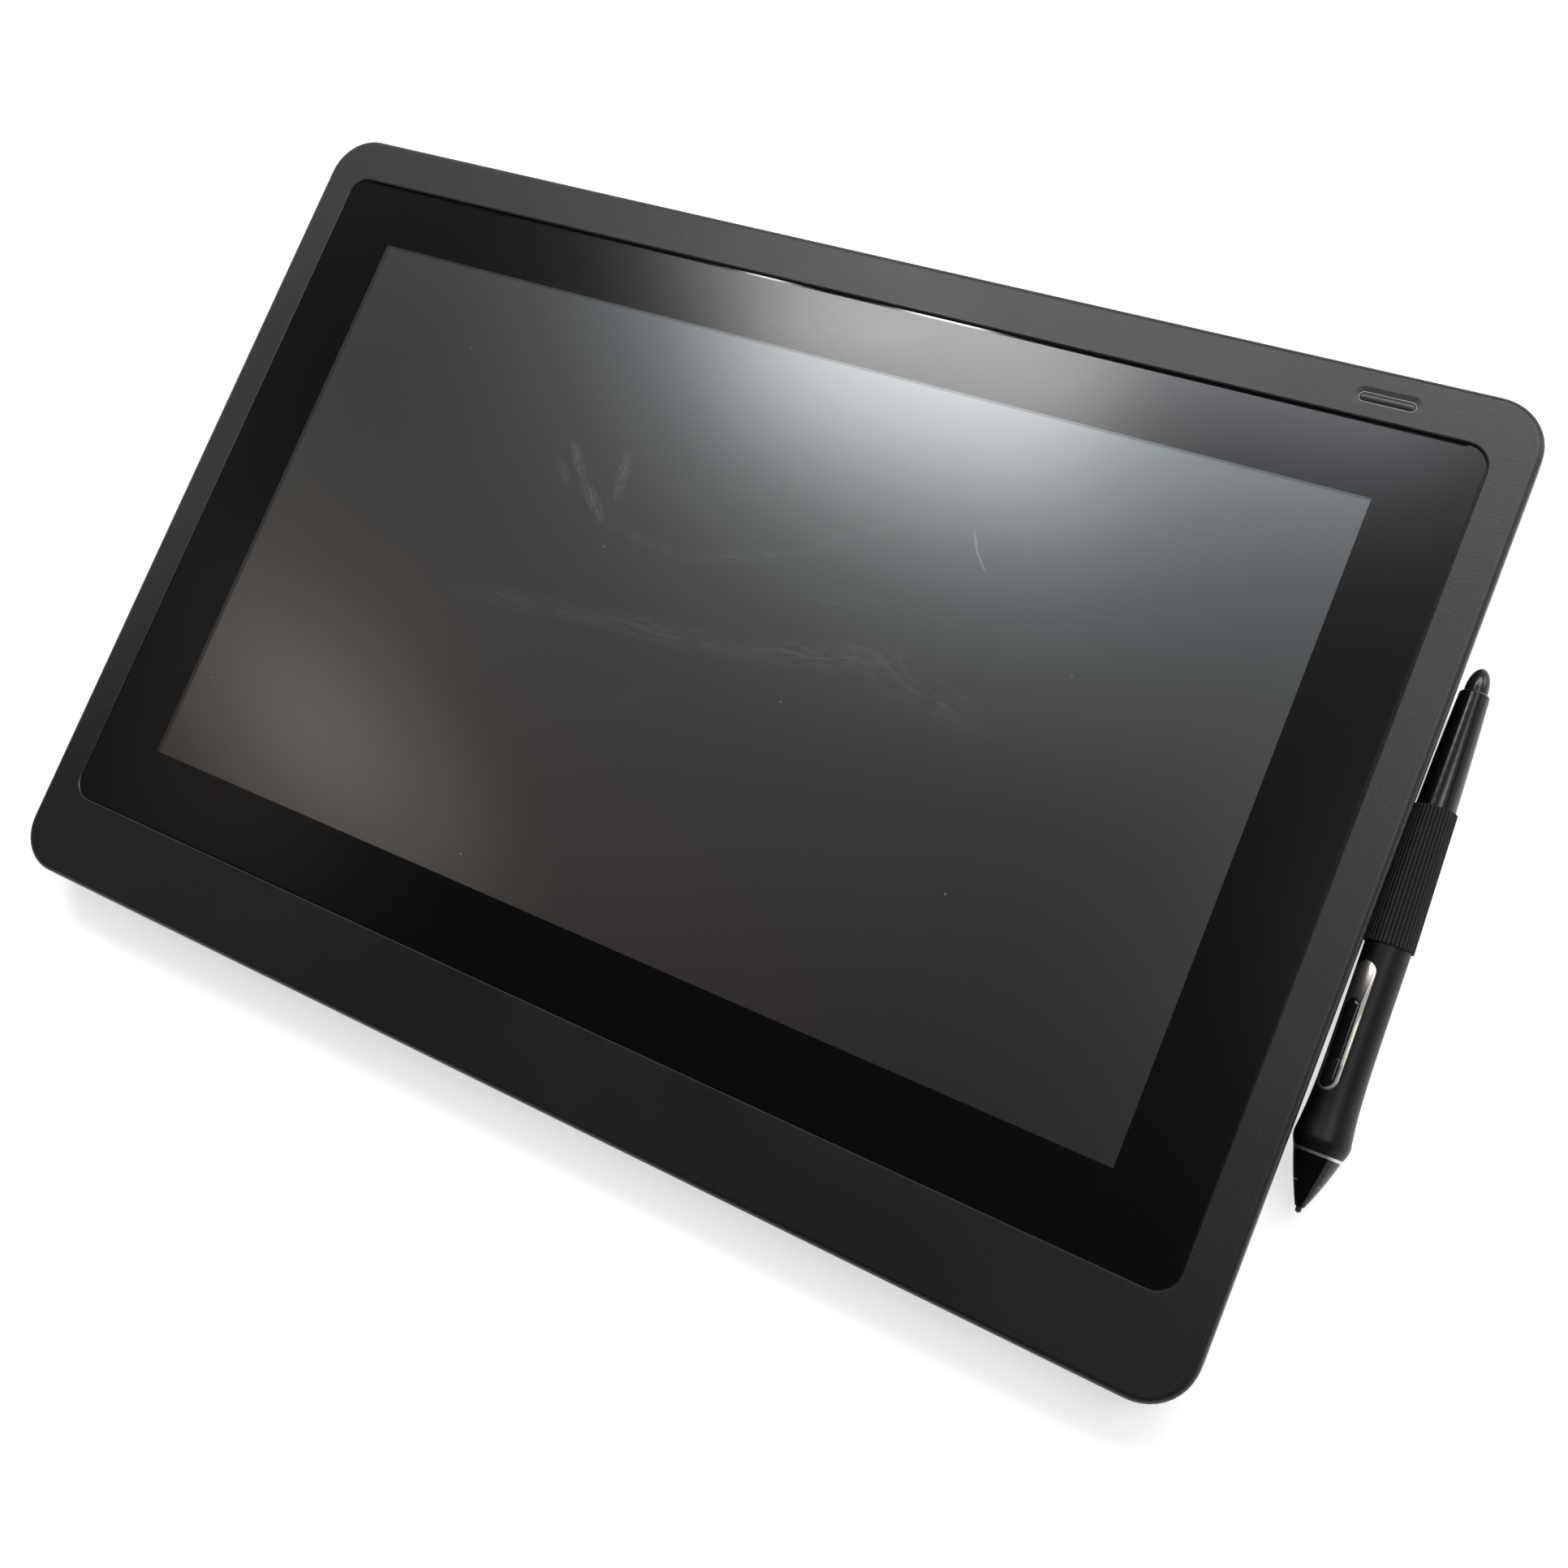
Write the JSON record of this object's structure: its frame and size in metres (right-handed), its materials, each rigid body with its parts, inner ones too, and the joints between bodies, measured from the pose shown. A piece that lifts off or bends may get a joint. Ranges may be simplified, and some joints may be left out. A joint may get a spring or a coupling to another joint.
{
  "type": "graphics tablet with screen",
  "caption": "Flat pen display with a wide bezel, dark etched glass, folding legs behind, a power button and a pen held in an elastic side loop.",
  "frame": {"origin": "on the desk, under the middle of the case's back face", "axes": "+X to the right edge seen from the front, +Y to the top edge, +Z out of the screen"},
  "size_m": [0.4371, 0.285, 0.0247],
  "materials": {
    "case_plastic": "fine grain, matt",
    "cover_glass": "etched, anti-glare",
    "border_ink": "matt print",
    "tape": "matt",
    "foam": "matt",
    "lcd_glass": "satin",
    "film": "satin",
    "clear_acrylic": "clear",
    "led_strip": "matt",
    "white_plastic": "matt",
    "circuit_board": "satin",
    "shield_sheet": "satin",
    "chassis": "satin",
    "screw_steel": "zinc plated",
    "dark_screw": "black oxide",
    "dark_plastic": "matt",
    "flex": "satin",
    "light_ring": "translucent",
    "button_plastic": "satin",
    "rubber": "matt",
    "pin_steel": "ground",
    "grey_plastic": "satin",
    "elastic": "ribbed knit",
    "gloss_black": "polished",
    "grip_rubber": "satin",
    "silver": "satin, bead blasted",
    "nib_plastic": "satin",
    "copper": "enamelled wire"
  },
  "bodies": {
    "case": {"front_bezel": "case_plastic", "cover_glass": "cover_glass", "border_mask": "border_ink", "glass_tape": "tape", "lcd_gasket": "foam", "lcd_panel": "lcd_glass", "diffuser": "film", "light_guide": "clear_acrylic", "led_bar": "led_strip", "lcd_tray": "white_plastic", "sensor_board": "circuit_board", "shield_plate": "shield_sheet", "chassis_plate": "chassis", "chassis_screws": "screw_steel", "main_board": "circuit_board", "shield_can": "shield_sheet", "cable_socket": "dark_plastic", "board_screws": "screw_steel", "panel_cable": "flex", "sensor_cable": "flex", "button_board": "circuit_board", "button_cable": "flex", "button_ring": "light_ring", "rear_cover": "case_plastic", "case_screws": "dark_screw", "rubber_feet": "rubber", "left_pin": "pin_steel", "right_pin": "pin_steel", "spare_nibs": "nib_plastic", "nib_puller": "grey_plastic", "loop_clip": "dark_plastic", "pen_loop": "elastic"},
    "power_button": {"power_button": "button_plastic"},
    "left_leg": {"left_leg": "case_plastic", "left_toe": "rubber"},
    "right_leg": {"right_leg": "case_plastic", "right_toe": "rubber"},
    "pen": {"pen_barrel": "gloss_black", "pen_grip": "grip_rubber", "nose_cone": "gloss_black", "tip_sleeve": "gloss_black", "pen_ring": "silver", "switch_frame": "silver", "pen_board": "circuit_board", "pen_coil": "copper", "pressure_sensor": "grey_plastic", "eraser_coil": "copper"},
    "side_switch": {"side_switch": "gloss_black"},
    "nib": {"nib": "nib_plastic"},
    "eraser": {"eraser": "gloss_black"}
  },
  "joints": [
    {"name": "power_press", "type": "slide", "parent": "case", "child": "power_button", "axis": [0, 0, -1], "range_m": [0, 0.0005], "stiffness_N_per_m": 1500},
    {"name": "left_leg_fold", "type": "hinge", "parent": "case", "child": "left_leg", "pos_m": [-0.128, 0.102, 0.0055], "axis": [1, 0, 0], "range_deg": [0, 95]},
    {"name": "right_leg_fold", "type": "hinge", "parent": "case", "child": "right_leg", "pos_m": [0.128, 0.102, 0.0055], "axis": [1, 0, 0], "range_deg": [0, 95]},
    {"name": "pen_draw", "type": "slide", "parent": "case", "child": "pen", "axis": [0.0251, -0.9997, 0], "range_m": [0, 0.085]},
    {"name": "side_switch_rock", "type": "hinge", "parent": "pen", "child": "side_switch", "pos_m": [0.21509, -0.04119, 0.01654], "axis": [0.7878, 0.0198, 0.6157], "range_deg": [-2, 2], "stiffness_Nm_per_rad": 0.2},
    {"name": "nib_press", "type": "slide", "parent": "pen", "child": "nib", "axis": [-0.0251, 0.9997, 0], "range_m": [0, 0.0005], "stiffness_N_per_m": 4000},
    {"name": "eraser_press", "type": "slide", "parent": "pen", "child": "eraser", "axis": [0.0251, -0.9997, 0], "range_m": [0, 0.0008], "stiffness_N_per_m": 3000}
  ]
}
